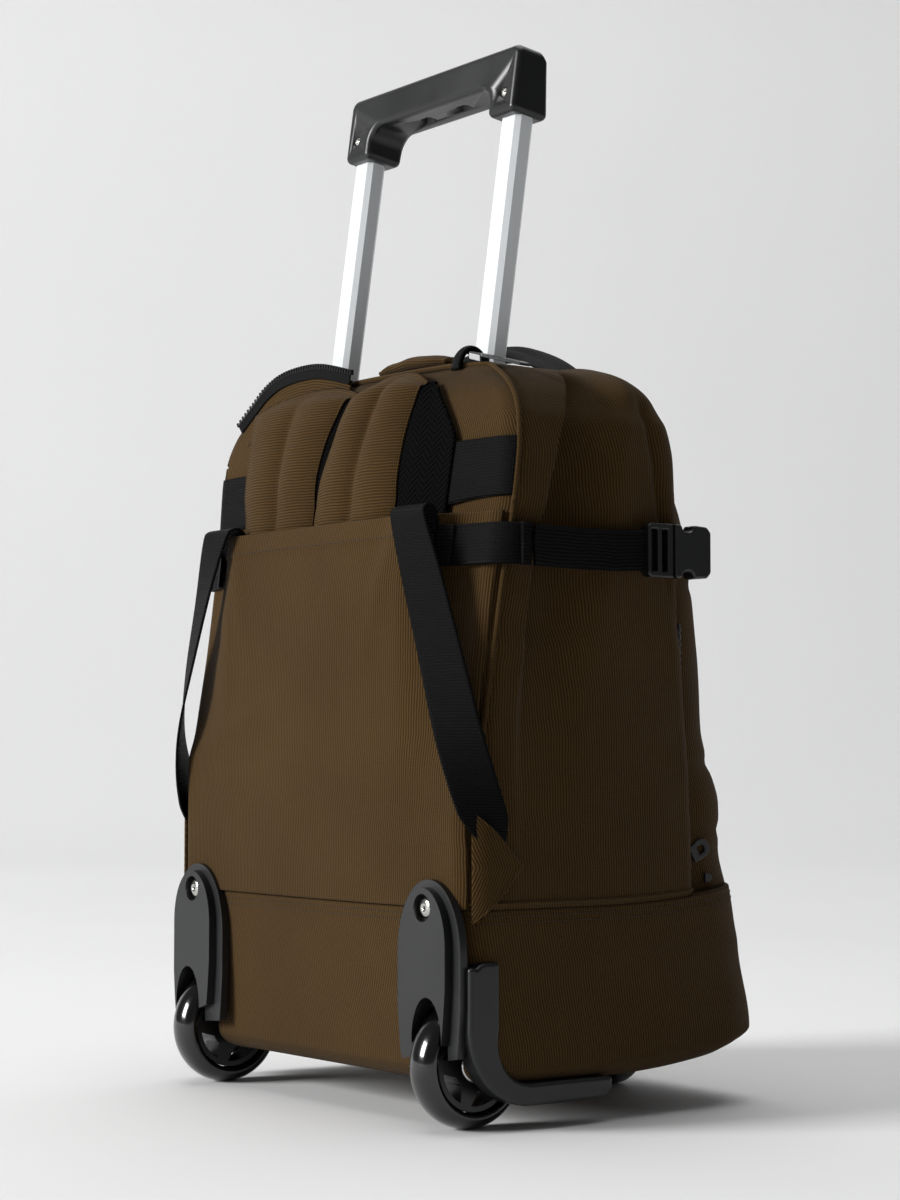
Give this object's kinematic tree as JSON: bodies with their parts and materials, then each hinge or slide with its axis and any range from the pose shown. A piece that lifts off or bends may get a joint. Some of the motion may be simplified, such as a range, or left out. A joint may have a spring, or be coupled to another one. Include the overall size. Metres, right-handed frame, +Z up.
{
  "type": "wheeled backpack",
  "caption": "Wheeled backpack: a hollow brown cloth bag with stowed padded shoulder straps, a telescopic trolley handle, moulded wheel housings, side straps and a front pocket.",
  "frame": {"origin": "centre of the footprint, on the floor that the wheels and front foot stand on", "axes": "+Z up, -Y the back side with the shoulder straps and wheels, +Y the front pocket, +X the wearer's right"},
  "size_m": [0.3538, 0.271, 0.6674],
  "materials": {
    "cloth": "matt brown ribbed polyester",
    "webbing": "black polyester webbing",
    "mesh": "black air mesh",
    "zip": "dark grey coil zip and cord loops",
    "plastic": "satin black moulding",
    "tyre": "glossy black wheel tread",
    "core": "satin black wheel core",
    "steel": "bright plated steel",
    "aluminium": "satin anodised"
  },
  "bodies": {
    "bag": {"base_shell": "cloth", "body_shell": "cloth", "front_pocket": "cloth", "strap_pocket": "cloth", "back_band": "webbing", "rolled_flap": "cloth", "top_handle": "webbing", "zip_tape": "webbing", "zip_teeth": "zip", "zip_loop": "zip", "front_foot": "plastic", "puller_upper": "zip", "puller_lower": "zip", "shoulder_strap_left": "cloth", "shoulder_strap_right": "cloth", "strap_lining_left": "mesh", "strap_lining_right": "mesh", "compression_strap_left": "webbing", "compression_strap_right": "webbing", "front_strap_left": "webbing", "front_strap_right": "webbing", "buckle_plug_left": "plastic", "buckle_plug_right": "plastic", "buckle_socket_left": "plastic", "buckle_socket_right": "plastic", "lower_webbing_left": "webbing", "lower_webbing_right": "webbing", "side_tab_left": "cloth", "side_tab_right": "cloth", "wheel_housing_left": "plastic", "wheel_housing_right": "plastic", "corner_rail_left": "plastic", "corner_rail_right": "plastic", "rivet_left": "steel", "rivet_right": "steel", "axle_left": "steel", "axle_right": "steel", "trolley_sleeve_left": "aluminium", "trolley_sleeve_right": "aluminium"},
    "handle": {"handle_tube_left": "aluminium", "handle_tube_right": "aluminium", "grip": "plastic", "grip_screw_left": "steel", "grip_screw_right": "steel"},
    "wheel_left": {"tyre_left": "tyre", "wheel_core_left": "core", "bearing_left": "steel"},
    "wheel_right": {"tyre_right": "tyre", "wheel_core_right": "core", "bearing_right": "steel"}
  },
  "joints": [
    {"name": "handle_slide", "type": "slide", "parent": "bag", "child": "handle", "axis": [0, 0.1426, 0.9898], "range_m": [-0.143, 0.18]},
    {"name": "wheel_spin_left", "type": "hinge", "parent": "bag", "child": "wheel_left", "pos_m": [-0.1346, -0.0975, 0.038], "axis": [1, 0, 0], "continuous": true},
    {"name": "wheel_spin_right", "type": "hinge", "parent": "bag", "child": "wheel_right", "pos_m": [0.1346, -0.0975, 0.038], "axis": [1, 0, 0], "continuous": true}
  ]
}
